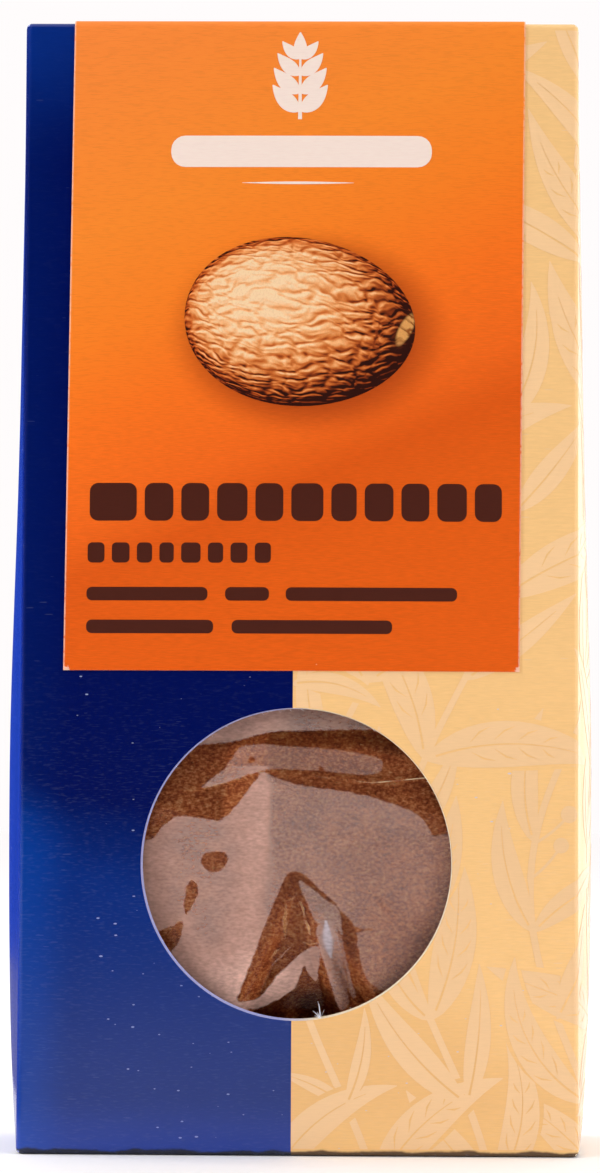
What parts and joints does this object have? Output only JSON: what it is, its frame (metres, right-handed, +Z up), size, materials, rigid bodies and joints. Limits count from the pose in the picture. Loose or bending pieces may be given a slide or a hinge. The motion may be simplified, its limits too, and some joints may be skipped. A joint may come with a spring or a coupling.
{
  "type": "windowed carton of ground nutmeg",
  "caption": "Upright folding carton with a round window onto a clear bag of ground nutmeg and a paper label folded over its lid.",
  "frame": {"origin": "middle of the carton's foot, where it stands", "axes": "+Z up to the lid, -Y out of the front face with the window, +X to the right as the front is seen"},
  "size_m": [0.0708, 0.0285, 0.1353],
  "materials": {
    "board": "glossy coated carton board",
    "paper": "uncoated label paper",
    "nutmeg": "brown powder behind clear glossy film"
  },
  "bodies": {
    "root": {"carton": "board", "label": "paper", "bag": "nutmeg"}
  },
  "joints": []
}
